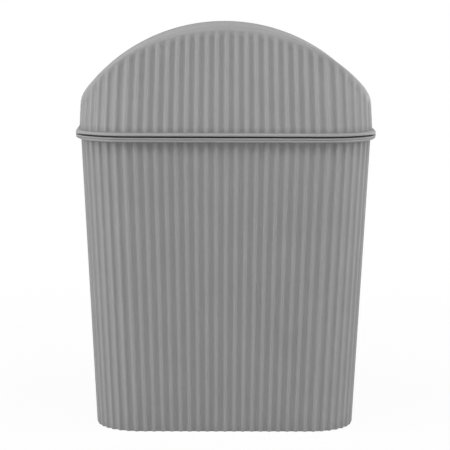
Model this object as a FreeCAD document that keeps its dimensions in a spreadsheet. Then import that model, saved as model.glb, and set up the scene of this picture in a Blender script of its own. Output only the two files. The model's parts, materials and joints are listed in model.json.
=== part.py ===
"""Fluted swing-top waste bin: tapered bin, lift-off lid, see-saw flap and its two push-in pins.

Millimetres, +Z up. The origin is the middle of the foot, on the floor. The front faces -Y,
and the flap tips left and right about an axis that runs from front to back.
"""
import FreeCAD
import Part
import Sketcher
import math
import os
import re

SIZES = (
    ("rim_height", 240.0, "floor to the top of the bin's rim"),
    ("top_width", 235.0, "bin over the ridges, at the rim"),
    ("top_depth", 156.0, "bin over the ridges, at the rim"),
    ("top_corner", 41.0, "corner radius over the ridges, at the rim"),
    ("base_width", 210.0, "bin over the ridges, at the floor"),
    ("base_depth", 137.0, "bin over the ridges, at the floor"),
    ("base_corner", 37.0, "corner radius over the ridges, at the floor"),
    ("flute_count", 88, "ridges around the bin, one of them at the middle of the front"),
    ("flute_depth", 1.7, "ridge top to groove bottom"),
    ("ridge_share", 0.38, "part of the pitch that is ridge"),
    ("bin_wall", 1.6, "wall behind the groove bottoms"),
    ("floor_thickness", 2.4, "floor plate of the bin"),
    ("foot_recess", 3.0, "height of the foot ring under the floor plate"),
    ("rim_reach", 4.2, "how far the rim and the lid's flange stand out past the bin's ridges"),
    ("rim_thickness", 3.6, "height of the rim's edge"),
    ("rim_round", 1.2, "rounding of the rim's edge"),
    ("seat_height", 1.5, "raised ring on the rim that carries the lid, and the dark gap outside it"),
    ("seat_width", 2.4, "width of that ring"),
    ("lid_overhang", 1.3, "how far the lid's ridges stand out past the bin's, at the flange"),
    ("lid_side_lean", 3.2, "how far each end wall leans in, from flange to crown"),
    ("lid_front_lean", 13.0, "how far the front and the back lean in, from flange to crown"),
    ("crown_height", 86.7, "flange underside to the crown"),
    ("arch_radius", 150.0, "arch of the lid's top, left to right"),
    ("groove_margin", 3.0, "plain band between the ends of the lid's grooves and the arch's edge"),
    ("lid_wall", 1.6, "lid wall behind the groove bottoms"),
    ("top_wall", 2.0, "arched top of the lid"),
    ("flange_thickness", 2.4, "lid flange"),
    ("flange_round", 1.0, "rounding of the flange's edge"),
    ("plug_depth", 12.0, "skirt of the lid that reaches into the bin"),
    ("plug_clearance", 0.5, "gap between that skirt and the bin's mouth"),
    ("plug_wall", 1.8, "wall of that skirt"),
    ("opening_length", 215.0, "opening in the lid's top, left to right"),
    ("opening_width", 117.0, "opening in the lid's top, front to back"),
    ("opening_corner", 30.0, "corner radius of the opening"),
    ("lip_depth", 4.0, "turned-down lip along the opening's long sides"),
    ("lip_wall", 2.0, "wall of that lip"),
    ("ear_width", 14.0, "ears that carry the pivot pins"),
    ("ear_wall", 4.0, "wall of an ear"),
    ("ear_reach", 21.5, "how far an ear hangs below the pivot"),
    ("stop_thickness", 3.0, "foot of an ear, on which the flap's skirt stops"),
    ("stop_reach", 3.5, "how far that foot stands in under the skirt"),
    ("flap_side_gap", 1.0, "gap along the flap's front and back edges"),
    ("flap_end_gap", 1.5, "gap at the flap's left and right ends"),
    ("flap_wall", 2.0, "arched sheet of the flap"),
    ("skirt_height", 6.0, "stiffening skirts under the flap's front and back edges"),
    ("skirt_wall", 2.0, "wall of a skirt"),
    ("skirt_length", 150.0, "length of a skirt, left to right"),
    ("pivot_drop", 9.0, "pivot axis below the crown"),
    ("lug_radius", 6.5, "lugs of the flap that turn on the pins"),
    ("lug_wall", 4.0, "wall of a lug"),
    ("pin_diameter", 5.0, "pivot pin"),
    ("pin_head_diameter", 9.0, "head of the pin, inside the flap"),
    ("pin_head_thickness", 2.0, "head of the pin"),
    ("pin_head_gap", 0.3, "play between the head and the lug"),
    ("pin_chamfer", 0.5, "lead-in at the pin's tip"),
    ("pin_tip", 1.0, "how far the tip stands out past its ear"),
    ("running_clearance", 0.08, "radial, between a pin and its lug"),
    ("grip_clearance", 0.01, "radial, between a pin and its ear"),
)
ALIASES = {alias for alias, value, meaning in SIZES}
# The blanks of the lid run this far past what trims them.
TRIM = 10.0
# Heights that several pieces share, written in the sheet's own sizes.
LID_SEAT = "rim_height + seat_height"
CROWN = "rim_height + seat_height + crown_height"
PIVOT = "rim_height + seat_height + crown_height - pivot_drop"
FLANGE_TOP = "rim_height + seat_height + flange_thickness"

doc = FreeCAD.newDocument("swing_top_bin")
sheet = doc.addObject("Spreadsheet::Sheet", "Sizes")
for row, (alias, value, meaning) in enumerate(SIZES, start=1):
    sheet.set(f"A{row}", meaning)
    sheet.set(f"B{row}", str(value))
    sheet.setAlias(f"B{row}", alias)
doc.recompute()


def size(alias):
    """Value of one cell of the sheet."""
    return float(sheet.get(alias))


def bind(thing, path, formula):
    """Tie a property to a formula of the sheet's sizes."""
    def from_sheet(word):
        return f"Sizes.{word.group()}" if word.group() in ALIASES else word.group()
    thing.setExpression(path, re.sub(r"[a-z_]+", from_sheet, formula))


def bin_outline(height, inset):
    """Half width, half depth and corner of the bin at a height, taken in by an inset, as formulas."""
    share = f"({height}) / rim_height"
    return (
        f"(base_width + (top_width - base_width) * {share}) / 2 - ({inset})",
        f"(base_depth + (top_depth - base_depth) * {share}) / 2 - ({inset})",
        f"base_corner + (top_corner - base_corner) * {share} - ({inset})",
    )


def rim_outline(reach):
    """Half width, half depth and corner of the rim, this far out past the bin's ridges."""
    return (f"top_width / 2 + {reach}", f"top_depth / 2 + {reach}", f"top_corner + {reach}")


def lid_outline(rise, inset):
    """Half width, half depth and corner of the lid's walls at a rise above the flange's underside."""
    share = f"({rise}) / crown_height"
    return (
        f"top_width / 2 + lid_overhang - lid_side_lean * {share} - ({inset})",
        f"top_depth / 2 + lid_overhang - lid_front_lean * {share} - ({inset})",
        f"top_corner + lid_overhang - ({inset})",
    )


def add_rounded_rectangle(sketch, half_width, half_depth, corner):
    """Rounded rectangle about the sketch's origin, fully constrained."""
    a, b, r = 100.0, 60.0, 10.0
    ends = (((r - a, -b), (a - r, -b)), ((a, r - b), (a, b - r)),
            ((a - r, b), (r - a, b)), ((-a, b - r), (-a, r - b)))
    middles = ((a - r, r - b), (a - r, b - r), (r - a, b - r), (r - a, r - b))
    for side, ((start, end), middle) in enumerate(zip(ends, middles)):
        sketch.addGeometry(Part.LineSegment(FreeCAD.Vector(*start, 0), FreeCAD.Vector(*end, 0)))
        circle = Part.Circle(FreeCAD.Vector(*middle, 0), FreeCAD.Vector(0, 0, 1), r)
        turn = (side - 1) * math.pi / 2
        sketch.addGeometry(Part.ArcOfCircle(circle, turn, turn + math.pi / 2))
    for piece in range(8):
        sketch.addConstraint(Sketcher.Constraint("Tangent", piece, 2, (piece + 1) % 8, 1))
    for arc in (3, 5, 7):
        sketch.addConstraint(Sketcher.Constraint("Equal", 1, arc))
    sketch.addConstraint(Sketcher.Constraint("Symmetric", 0, 1, 0, 2, -2))
    sketch.addConstraint(Sketcher.Constraint("Symmetric", 2, 1, 2, 2, -1))
    sketch.addConstraint(Sketcher.Constraint("Horizontal", 4))
    sketch.addConstraint(Sketcher.Constraint("Vertical", 6))
    width = sketch.addConstraint(Sketcher.Constraint("DistanceX", -1, 1, 2, 1, a))
    depth = sketch.addConstraint(Sketcher.Constraint("DistanceY", 0, 1, -1, 1, b))
    radius = sketch.addConstraint(Sketcher.Constraint("Radius", 1, r))
    bind(sketch, f"Constraints[{width}]", half_width)
    bind(sketch, f"Constraints[{depth}]", half_depth)
    bind(sketch, f"Constraints[{radius}]", corner)


def add_rectangle(sketch, half_width, low, high):
    """Rectangle about the sketch's upright axis, between two heights."""
    a, b, c = 10.0, 250.0, 270.0
    corners = [FreeCAD.Vector(*point, 0) for point in ((-a, b), (a, b), (a, c), (-a, c))]
    for side in range(4):
        sketch.addGeometry(Part.LineSegment(corners[side], corners[(side + 1) % 4]))
    for side in range(4):
        sketch.addConstraint(Sketcher.Constraint("Coincident", side, 2, (side + 1) % 4, 1))
    sketch.addConstraint(Sketcher.Constraint("Symmetric", 0, 1, 0, 2, -2))
    sketch.addConstraint(Sketcher.Constraint("Horizontal", 2))
    sketch.addConstraint(Sketcher.Constraint("Vertical", 1))
    sketch.addConstraint(Sketcher.Constraint("Vertical", 3))
    width = sketch.addConstraint(Sketcher.Constraint("DistanceX", -1, 1, 1, 1, a))
    bottom = sketch.addConstraint(Sketcher.Constraint("DistanceY", -1, 1, 0, 1, b))
    top = sketch.addConstraint(Sketcher.Constraint("DistanceY", -1, 1, 2, 1, c))
    bind(sketch, f"Constraints[{width}]", half_width)
    bind(sketch, f"Constraints[{bottom}]", low)
    bind(sketch, f"Constraints[{top}]", high)


def add_circle(sketch, height, radius):
    """Circle on the sketch's upright axis."""
    sketch.addGeometry(Part.Circle(FreeCAD.Vector(0, 250, 0), FreeCAD.Vector(0, 0, 1), 5))
    sketch.addConstraint(Sketcher.Constraint("PointOnObject", 0, 3, -2))
    level = sketch.addConstraint(Sketcher.Constraint("DistanceY", -1, 1, 0, 3, 250))
    round_size = sketch.addConstraint(Sketcher.Constraint("Radius", 0, 5))
    bind(sketch, f"Constraints[{level}]", height)
    bind(sketch, f"Constraints[{round_size}]", radius)


def plane_of(body, role):
    """One of a body's own origin planes or axes."""
    return next(item for item in body.Origin.OriginFeatures if item.Role == role)


def sketch_in(body, name, role, offset):
    """Sketch on an origin plane of a body, moved along the plane's normal."""
    sketch = body.newObject("Sketcher::SketchObject", name)
    sketch.AttachmentSupport = [(plane_of(body, role), "")]
    sketch.MapMode = "FlatFace"
    bind(sketch, "AttachmentOffset.Base.z", offset)
    return sketch


def level_sketch(body, name, height, outline):
    """Rounded rectangle in a body, at a height."""
    sketch = sketch_in(body, name, "XY_Plane", height)
    add_rounded_rectangle(sketch, *outline)
    return sketch


def extrude_in(body, kind, name, sketch, length, reverse=False):
    """Pad or Pocket of a sketch."""
    feature = body.newObject(f"PartDesign::{kind}", name)
    feature.Profile = sketch
    feature.Reversed = reverse
    bind(feature, "Length", length)
    return feature


def loft_in(body, kind, name, low, high):
    """Ruled loft in a body, between two sketches."""
    feature = body.newObject(f"PartDesign::{kind}", name)
    feature.Profile = low
    feature.Sections = [high]
    feature.Ruled = True
    return feature


def round_outer_edge(body, name, feature, radius):
    """Round the edges of a feature that lie on the rim's own outline."""
    doc.recompute()
    flat_width = size("top_width") / 2 - size("top_corner")
    flat_depth = size("top_depth") / 2 - size("top_corner")
    reach = size("top_corner") + size("rim_reach")
    names = []
    for number, edge in enumerate(feature.Shape.Edges, start=1):
        gaps = [math.hypot(max(abs(corner.X) - flat_width, 0), max(abs(corner.Y) - flat_depth, 0))
                for corner in edge.Vertexes]
        level = abs(edge.Vertexes[0].Z - edge.Vertexes[-1].Z) < 0.01
        if level and all(abs(gap - reach) < 0.01 for gap in gaps):
            names.append(f"Edge{number}")
    fillet = body.newObject("PartDesign::Fillet", name)
    fillet.Base = (feature, names)
    bind(fillet, "Radius", radius)
    return fillet


def mirror_front_to_back(body, name, features):
    """Repeat features of the front on the back."""
    mirror = body.newObject("PartDesign::Mirrored", name)
    mirror.Originals = features
    mirror.MirrorPlane = (plane_of(body, "XZ_Plane"), [""])
    body.Tip = mirror


def outline_sides(half_width, half_depth, corner):
    """Sides of a rounded rectangle as (length, start point, direction), from the middle of the front.

    A corner is given as (length, middle, start angle).
    """
    flat_width, flat_depth = half_width - corner, half_depth - corner
    turn = corner * math.pi / 2
    return (
        (flat_width, (0, -half_depth), (1, 0)),
        (turn, (flat_width, -flat_depth), -math.pi / 2),
        (2 * flat_depth, (half_width, -flat_depth), (0, 1)),
        (turn, (flat_width, flat_depth), 0.0),
        (2 * flat_width, (flat_width, half_depth), (-1, 0)),
        (turn, (-flat_width, flat_depth), math.pi / 2),
        (2 * flat_depth, (-half_width, flat_depth), (0, -1)),
        (turn, (-flat_width, -flat_depth), math.pi),
        (flat_width, (-flat_width, -half_depth), (1, 0)),
    )


def flute_point(outline, height, flute, depth):
    """Point of a fluted outline: how many flutes from the front's middle, and how deep.

    The flutes are shared out along the bin's rim. On every other outline a flute keeps its side
    and its share of that side, so the ridges of the bin and the lid line up.
    """
    rim = outline_sides(size("top_width") / 2, size("top_depth") / 2, size("top_corner"))
    way = (flute % size("flute_count")) / size("flute_count") * sum(side[0] for side in rim)
    number = 0
    while way > rim[number][0]:
        way -= rim[number][0]
        number += 1
    share = way / rim[number][0]
    length, place, heading = outline_sides(*outline)[number]
    if isinstance(heading, tuple):
        x = place[0] + heading[0] * length * share + heading[1] * -depth
        y = place[1] + heading[1] * length * share - heading[0] * -depth
    else:
        angle = heading + share * math.pi / 2
        x = place[0] + (outline[2] - depth) * math.cos(angle)
        y = place[1] + (outline[2] - depth) * math.sin(angle)
    return FreeCAD.Vector(x, y, height)


def fluted_wire(name, outline, height):
    """Closed outline of rounded ridges and grooves, each an arc, at one height."""
    depth = size("flute_depth")
    half_ridge = size("ridge_share") / 2
    edge_depth = depth * size("ridge_share")
    edges = []
    for ridge in range(int(size("flute_count"))):
        before = flute_point(outline, height, ridge - half_ridge, edge_depth)
        crest = flute_point(outline, height, ridge, 0)
        after = flute_point(outline, height, ridge + half_ridge, edge_depth)
        trough = flute_point(outline, height, ridge + 0.5, depth)
        following = flute_point(outline, height, ridge + 1 - half_ridge, edge_depth)
        edges.append(Part.Arc(before, crest, after).toShape())
        edges.append(Part.Arc(after, trough, following).toShape())
    wire = doc.addObject("Part::Feature", name)
    wire.Shape = Part.Wire(edges)
    return wire


def ruled_loft(name, low, high):
    """Solid with straight walls between two outlines."""
    loft = doc.addObject("Part::Loft", name)
    loft.Sections = [low, high]
    loft.Solid = True
    loft.Ruled = True
    return loft


def plain_outline(name, height, outline):
    """Rounded rectangle at a height, outside any body."""
    sketch = doc.addObject("Sketcher::SketchObject", name)
    add_rounded_rectangle(sketch, *outline)
    bind(sketch, "Placement.Base.z", height)
    return sketch


def combine(kind, name, first, second):
    """Cut, Common or Fuse of two objects."""
    result = doc.addObject(f"Part::{kind}", name)
    result.Base = first
    result.Tool = second
    return result


def block(name, half_width, near, far, low, high):
    """Box about the middle plane x = 0, between two depths and two heights."""
    box = doc.addObject("Part::Box", name)
    bind(box, "Length", f"2 * ({half_width})")
    bind(box, "Width", f"({far}) - ({near})")
    bind(box, "Height", f"({high}) - ({low})")
    bind(box, "Placement.Base.x", f"-({half_width})")
    bind(box, "Placement.Base.y", near)
    bind(box, "Placement.Base.z", low)
    return box


def arch_bar(name, inset):
    """Round bar from front to back, this far inside the arch of the lid's top."""
    bar = doc.addObject("Part::Cylinder", name)
    bind(bar, "Radius", f"arch_radius - ({inset})")
    bind(bar, "Height", "2 * top_depth")
    bar.Placement = FreeCAD.Placement(FreeCAD.Vector(), FreeCAD.Rotation(FreeCAD.Vector(1, 0, 0), 90))
    bind(bar, "Placement.Base.y", "top_depth")
    bind(bar, "Placement.Base.z", f"{CROWN} - arch_radius")
    return bar


def make_bin():
    """Tapered fluted bin with a flat rim, a raised seat for the lid and a foot ring."""
    base = (size("base_width") / 2, size("base_depth") / 2, size("base_corner"))
    top = (size("top_width") / 2, size("top_depth") / 2, size("top_corner"))
    blank = ruled_loft("bin_blank", fluted_wire("bin_foot_outline", base, 0),
                       fluted_wire("bin_rim_outline", top, size("rim_height")))
    body = doc.addObject("PartDesign::Body", "bin_body")
    body.BaseFeature = blank
    inset = "flute_depth + bin_wall"
    rim_sketch = level_sketch(body, "rim_sketch", "rim_height", rim_outline("rim_reach"))
    rim = extrude_in(body, "Pad", "rim", rim_sketch, "rim_thickness", reverse=True)
    round_outer_edge(body, "rim_rounding", rim, "rim_round")
    seat_sketch = level_sketch(body, "seat_sketch", "rim_height",
                               bin_outline("rim_height", f"{inset} - seat_width"))
    extrude_in(body, "Pad", "seat", seat_sketch, "seat_height")
    floor = "foot_recess + floor_thickness"
    floor_sketch = level_sketch(body, "floor_sketch", floor, bin_outline(floor, inset))
    mouth_sketch = level_sketch(body, "mouth_sketch", LID_SEAT, bin_outline(LID_SEAT, inset))
    loft_in(body, "SubtractiveLoft", "inside", floor_sketch, mouth_sketch)
    foot_sketch = level_sketch(body, "foot_sketch", "0", bin_outline("0", inset))
    extrude_in(body, "Pocket", "foot", foot_sketch, "foot_recess", reverse=True)
    return body


def make_lid_grooves():
    """Bars with round tops that cut the lid's grooves, each along a straight line of the leaning walls.

    A groove is as wide and as deep as the bin's at the rim, and stops short of the arch's edge.
    """
    seat, crown = size("rim_height") + size("seat_height"), size("crown_height")
    low = [size("top_width") / 2, size("top_depth") / 2, size("top_corner")]
    low = [length + size("lid_overhang") for length in low]
    leans = (size("lid_side_lean"), size("lid_front_lean"), 0)
    high = [length - lean for length, lean in zip(low, leans)]
    rim = outline_sides(size("top_width") / 2, size("top_depth") / 2, size("top_corner"))
    half_groove = sum(side[0] for side in rim) / size("flute_count") * (1 - size("ridge_share")) / 2
    depth = size("flute_depth")
    radius = (half_groove ** 2 + depth ** 2) / (2 * depth)
    reach = size("arch_radius") - size("groove_margin") - radius
    middle = seat + crown - size("arch_radius")
    bars = []
    for groove in range(int(size("flute_count"))):
        foot = flute_point(low, seat, groove + 0.5, depth - radius)
        way = flute_point(high, seat + crown, groove + 0.5, depth - radius) - foot
        start = foot.z - middle
        a = way.x ** 2 + way.z ** 2
        b = foot.x * way.x + start * way.z
        c = foot.x ** 2 + start ** 2 - reach ** 2
        top = foot + way * ((math.sqrt(b * b - a * c) - b) / a)
        below = foot - way * (TRIM / crown)
        bar = Part.makeCylinder(radius, (top - below).Length, below, way)
        bars.append(bar.fuse(Part.makeSphere(radius, top)))
    grooves = doc.addObject("Part::Feature", "lid_grooves")
    grooves.Shape = Part.makeCompound(bars)
    return grooves


def make_lid_shell(arch):
    """Fluted walls of the lid under its arch, hollow, with a lip along the flap's long edges."""
    rise = f"crown_height + {TRIM}"
    walls = ruled_loft("lid_blank", plain_outline("lid_low", LID_SEAT, lid_outline("0", "0")),
                       plain_outline("lid_high", f"{LID_SEAT} + {rise}", lid_outline(rise, "0")))
    dome = combine("Cut", "lid_fluted", combine("Common", "lid_dome", walls, arch), make_lid_grooves())
    inset = "flute_depth + lid_wall"
    taper = ruled_loft("hollow_taper", plain_outline("hollow_low", LID_SEAT, lid_outline("0", inset)),
                       plain_outline("hollow_high", f"{LID_SEAT} + {rise}", lid_outline(rise, inset)))
    hollow = combine("Common", "lid_hollow", taper, arch_bar("top_underside", "top_wall"))
    half_lip = "opening_length / 2 - opening_corner"
    lips = combine("Fuse", "lip_blocks",
                   block("front_lip", half_lip, "-opening_width / 2 - lip_wall", "-opening_width / 2",
                         LID_SEAT, CROWN),
                   block("back_lip", half_lip, "opening_width / 2", "opening_width / 2 + lip_wall",
                         LID_SEAT, CROWN))
    lip = combine("Cut", "lips", lips, arch_bar("lip_underside", "top_wall + lip_depth"))
    return combine("Cut", "lid_walls", dome, combine("Cut", "hollow_beside_lips", hollow, lip))


def make_lid(arch):
    """Lift-off lid: fluted arched walls, flange, skirt into the bin, and ears for the flap's pins."""
    body = doc.addObject("PartDesign::Body", "lid_frame")
    body.BaseFeature = make_lid_shell(arch)
    flange_sketch = level_sketch(body, "flange_sketch", LID_SEAT, rim_outline("rim_reach"))
    flange = extrude_in(body, "Pad", "flange", flange_sketch, "flange_thickness")
    round_outer_edge(body, "flange_rounding", flange, "flange_round")
    plug_end = f"{LID_SEAT} - plug_depth"
    inset = "flute_depth + bin_wall + plug_clearance"
    loft_in(body, "AdditiveLoft", "plug",
            level_sketch(body, "plug_end_sketch", plug_end, bin_outline(plug_end, inset)),
            level_sketch(body, "plug_root_sketch", LID_SEAT, bin_outline(LID_SEAT, inset)))
    throat = f"{inset} + plug_wall"
    loft_in(body, "SubtractiveLoft", "throat",
            level_sketch(body, "throat_end_sketch", plug_end, bin_outline(plug_end, throat)),
            level_sketch(body, "throat_root_sketch", FLANGE_TOP, bin_outline(FLANGE_TOP, throat)))
    opening_sketch = level_sketch(body, "opening_sketch", CROWN,
                                  ("opening_length / 2", "opening_width / 2", "opening_corner"))
    extrude_in(body, "Pocket", "opening", opening_sketch, "crown_height - 2 * flange_thickness")
    ear_sketch = sketch_in(body, "ear_sketch", "XZ_Plane", "opening_width / 2")
    add_rectangle(ear_sketch, "ear_width / 2", f"{PIVOT} - ear_reach", f"{CROWN} - top_wall / 2")
    ear = extrude_in(body, "Pad", "ear", ear_sketch, "ear_wall")
    stop_sketch = sketch_in(body, "stop_sketch", "XZ_Plane", "opening_width / 2")
    add_rectangle(stop_sketch, "ear_width / 2", f"{PIVOT} - ear_reach",
                  f"{PIVOT} - ear_reach + stop_thickness")
    stop = extrude_in(body, "Pad", "stop", stop_sketch, "stop_reach", reverse=True)
    hole_sketch = sketch_in(body, "hole_sketch", "XZ_Plane", "opening_width / 2")
    add_circle(hole_sketch, PIVOT, "pin_diameter / 2 + grip_clearance")
    hole = extrude_in(body, "Pocket", "pin_hole", hole_sketch, "ear_wall", reverse=True)
    mirror_front_to_back(body, "back_ear", [ear, stop, hole])
    return body


def make_flap_sheet(arch):
    """Arched sheet that fills the opening, with a skirt under its front and back edges."""
    half_length = "opening_length / 2 - flap_end_gap"
    half_width = "opening_width / 2 - flap_side_gap"
    plan = doc.addObject("Part::Extrusion", "flap_plan")
    plan.Base = plain_outline("flap_outline", f"{LID_SEAT} + flange_thickness",
                              (half_length, half_width, "opening_corner - flap_side_gap"))
    plan.DirMode = "Custom"
    plan.Dir = FreeCAD.Vector(0, 0, 1)
    plan.Solid = True
    bind(plan, "LengthFwd", "crown_height")
    deep = combine("Cut", "flap_thick", combine("Common", "flap_bar", plan, arch),
                   arch_bar("skirt_underside", "flap_wall + skirt_height"))
    between = block("between_skirts", "opening_length / 2", f"skirt_wall - ({half_width})",
                    f"({half_width}) - skirt_wall", LID_SEAT, CROWN)
    along = block("along_skirts", "skirt_length / 2", f"-({half_width})", half_width, LID_SEAT, CROWN)
    underside = arch_bar("flap_underside", "flap_wall")
    beyond = combine("Cut", "beyond_skirts", underside, along)
    inner = combine("Common", "inside_skirts", underside, between)
    return combine("Cut", "flap_sheet", combine("Cut", "flap_ended", deep, beyond), inner)


def make_flap(arch):
    """See-saw flap: arched sheet, skirts, and two lugs that turn on the pins."""
    body = doc.addObject("PartDesign::Body", "swing_flap")
    body.BaseFeature = make_flap_sheet(arch)
    edge = "opening_width / 2 - flap_side_gap"
    column_sketch = sketch_in(body, "column_sketch", "XZ_Plane", edge)
    add_rectangle(column_sketch, "lug_radius", PIVOT, f"{CROWN} - flap_wall / 2")
    column = extrude_in(body, "Pad", "lug_column", column_sketch, "lug_wall", reverse=True)
    lug_sketch = sketch_in(body, "lug_sketch", "XZ_Plane", edge)
    add_circle(lug_sketch, PIVOT, "lug_radius")
    lug = extrude_in(body, "Pad", "lug", lug_sketch, "lug_wall", reverse=True)
    bore_sketch = sketch_in(body, "bore_sketch", "XZ_Plane", edge)
    add_circle(bore_sketch, PIVOT, "pin_diameter / 2 + running_clearance")
    bore = extrude_in(body, "Pocket", "lug_bore", bore_sketch, "lug_wall")
    mirror_front_to_back(body, "back_lug", [column, lug, bore])
    return body


def make_pin(name, side):
    """Headed push-in pin: through a flap lug from inside, and gripped in an ear. side is -1 at the front."""
    body = doc.addObject("PartDesign::Body", name)
    sketch = body.newObject("Sketcher::SketchObject", f"{name}_sketch")
    sketch.AttachmentSupport = [(plane_of(body, "XZ_Plane"), "")]
    sketch.MapMode = "FlatFace"
    reach = "pin_head_gap + lug_wall + flap_side_gap + ear_wall + pin_tip + pin_head_thickness"
    corners = (
        (0, 0, None, None),
        (4.5, 0, "pin_head_diameter / 2", None),
        (4.5, 2, "pin_head_diameter / 2", "pin_head_thickness"),
        (2.5, 2, "pin_diameter / 2", "pin_head_thickness"),
        (2.5, 11, "pin_diameter / 2", f"{reach} - pin_chamfer"),
        (2.0, 12, "pin_diameter / 2 - pin_chamfer", reach),
        (0, 12, None, reach),
    )
    count = len(corners)
    points = [FreeCAD.Vector(corner[0], corner[1], 0) for corner in corners]
    for number in range(count):
        sketch.addGeometry(Part.LineSegment(points[number], points[(number + 1) % count]))
    for number in range(count):
        sketch.addConstraint(Sketcher.Constraint("Coincident", number, 2, (number + 1) % count, 1))
    for number, (x, y, across, along) in enumerate(corners):
        if across is None:
            sketch.addConstraint(Sketcher.Constraint("PointOnObject", number, 1, -2))
        else:
            tie = sketch.addConstraint(Sketcher.Constraint("DistanceX", -1, 1, number, 1, x))
            bind(sketch, f"Constraints[{tie}]", across)
        if along is None:
            sketch.addConstraint(Sketcher.Constraint("PointOnObject", number, 1, -1))
        else:
            tie = sketch.addConstraint(Sketcher.Constraint("DistanceY", -1, 1, number, 1, y))
            bind(sketch, f"Constraints[{tie}]", along)
    turned = body.newObject("PartDesign::Revolution", f"{name}_turned")
    turned.Profile = sketch
    turned.ReferenceAxis = (sketch, ["V_Axis"])
    turned.Angle = 360
    body.Placement = FreeCAD.Placement(FreeCAD.Vector(),
                                       FreeCAD.Rotation(FreeCAD.Vector(1, 0, 0), -90 * side))
    head = "opening_width / 2 - flap_side_gap - lug_wall - pin_head_gap - pin_head_thickness"
    bind(body, "Placement.Base.y", f"{side} * ({head})")
    bind(body, "Placement.Base.z", PIVOT)
    return body


def check(pieces):
    """Stop unless every object is sound and each piece is one valid solid."""
    for thing in doc.Objects:
        if "Invalid" in thing.State or "Error" in thing.State:
            raise RuntimeError(f"{thing.Name} failed: {thing.State}")
    for piece in pieces:
        shape = piece.Shape
        if shape.isNull() or not shape.isValid() or len(shape.Solids) != 1:
            raise RuntimeError(f"{piece.Label} is not one valid solid")


lid_arch = arch_bar("lid_arch", "0")
sub_parts = [
    make_bin(),
    make_lid(lid_arch),
    make_flap(lid_arch),
    make_pin("front_pivot_pin", -1),
    make_pin("back_pivot_pin", 1),
]
doc.recompute()
check(sub_parts)
os.makedirs("parts", exist_ok=True)
for sub_part in sub_parts:
    sub_part.Shape.exportStep(f"parts/{sub_part.Label}.step")
    box = sub_part.Shape.optimalBoundingBox(False)
    print(f"{sub_part.Label}: {sub_part.Shape.Volume / 1000:.1f} cm3, "
          f"{box.XLength:.1f} x {box.YLength:.1f} x {box.ZLength:.1f} mm, "
          f"from z {box.ZMin:.1f} to {box.ZMax:.1f}")
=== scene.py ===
# %% [markdown]
# # A fluted swing-top waste bin
#
# The object is a small household bin moulded in satin grey plastic. It has a tapered fluted bin,
# a lift-off lid with fluted, arched cheeks, and a smooth flap in the lid's arched top that tips
# left and right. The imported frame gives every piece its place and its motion. This lesson gives
# the pieces their looks, and never moves what the frame holds.

# %% Load the frame
import json
import math

import bmesh
import bpy
import numpy as np
from mathutils import Matrix, Vector


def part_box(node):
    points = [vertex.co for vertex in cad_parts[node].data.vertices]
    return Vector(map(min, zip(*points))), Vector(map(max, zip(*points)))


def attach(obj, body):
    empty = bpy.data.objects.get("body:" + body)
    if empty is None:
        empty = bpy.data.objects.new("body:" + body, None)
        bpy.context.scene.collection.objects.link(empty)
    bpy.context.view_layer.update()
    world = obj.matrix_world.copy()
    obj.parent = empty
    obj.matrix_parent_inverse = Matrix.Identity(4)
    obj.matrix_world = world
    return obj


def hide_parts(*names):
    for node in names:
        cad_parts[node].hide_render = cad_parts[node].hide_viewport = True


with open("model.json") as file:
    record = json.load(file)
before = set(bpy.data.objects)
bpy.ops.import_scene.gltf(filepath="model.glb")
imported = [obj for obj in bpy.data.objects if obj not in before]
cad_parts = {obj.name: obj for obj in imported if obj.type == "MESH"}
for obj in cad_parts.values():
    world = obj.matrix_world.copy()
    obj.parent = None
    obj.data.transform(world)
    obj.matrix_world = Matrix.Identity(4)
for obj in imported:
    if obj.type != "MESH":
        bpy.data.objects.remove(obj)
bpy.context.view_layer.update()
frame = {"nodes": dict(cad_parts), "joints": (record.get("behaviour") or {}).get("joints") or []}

# %% [markdown]
# ## Sizes
#
# Whole sizes are read from the frame's nodes, so that the looks follow the construction. What a
# node's box can't tell, such as a corner radius or a wall, is a named value in millimetres.
# Everything after this cell is in metres.

# %% Sizes
MM = 0.001
SEAT_HEIGHT = 1.5 * MM
RIM_REACH = 4.2 * MM
TOP_CORNER = 41.0 * MM
BASE_HALF_WIDTH, BASE_HALF_DEPTH, BASE_CORNER = 105.0 * MM, 68.5 * MM, 37.0 * MM
LID_OVERHANG = 1.3 * MM
LID_SIDE_LEAN, LID_FRONT_LEAN = 3.2 * MM, 13.0 * MM
ARCH_RADIUS = 150.0 * MM
FLUTES = 88
FLUTE_DEPTH = 1.7 * MM
RIDGE_SHARE = 0.38
# Small edges of the mouldings are broken by one of these.
FINE_EDGE, BROKEN_EDGE = 0.3 * MM, 0.4 * MM

bin_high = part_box("bin_body")[1]
lid_low, lid_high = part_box("lid_frame")
flap_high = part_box("swing_flap")[1]
rim_z = bin_high.z - SEAT_HEIGHT
seat_z = bin_high.z
crown_z = lid_high.z
crown_height = crown_z - seat_z
top_half_width, top_half_depth = bin_high.x - RIM_REACH, bin_high.y - RIM_REACH
flap_joint = next(joint for joint in frame["joints"] if joint["name"] == "flap_swing")
pivot = Vector(flap_joint["pos_m"])
print(f"rim at {rim_z:.4f}, lid seat at {seat_z:.4f}, crown at {crown_z:.4f}, pivot at {pivot.z:.4f}")

# %% [markdown]
# ## One outline for every ring
#
# Bin and lid share one plan: a rounded rectangle. It could be drawn as a curve and swept, but then
# the ridges of the bin and the lid would not line up. Here each sample around the plan keeps a
# place on the inner rectangle and an outward direction, shared out evenly along the rim. Any ring,
# wide or narrow, is then that rectangle grown by its corner radius, and sample number k is the
# same rib on all of them.

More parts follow.
